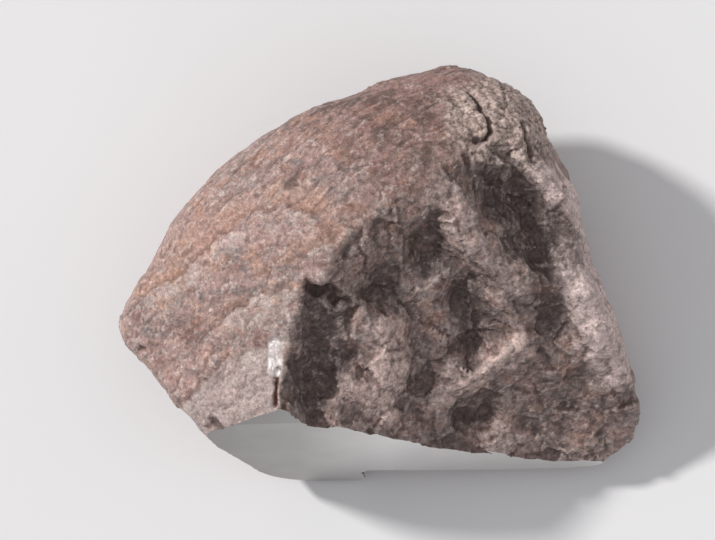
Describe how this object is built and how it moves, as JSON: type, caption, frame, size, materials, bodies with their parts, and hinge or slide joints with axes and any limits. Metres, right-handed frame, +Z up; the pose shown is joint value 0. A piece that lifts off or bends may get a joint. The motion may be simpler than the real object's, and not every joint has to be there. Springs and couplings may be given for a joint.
{
  "type": "meteorite",
  "caption": "Iron meteorite: a rounded, rust-brown lump with a domed crust on one side, thumbprint hollows on the other and one flat polished saw cut.",
  "frame": {"origin": "on the small worn flat the stone rests on, near the middle of its footprint", "axes": "+Z up from the resting flat, +X along the length of the saw cut towards the thin foot, +Y away from the saw cut"},
  "size_m": [0.2014, 0.1622, 0.0999],
  "materials": {
    "iron": "weathered oxide crust, polished bare metal on the saw cut"
  },
  "bodies": {
    "root": {"meteorite": "iron"}
  },
  "joints": []
}
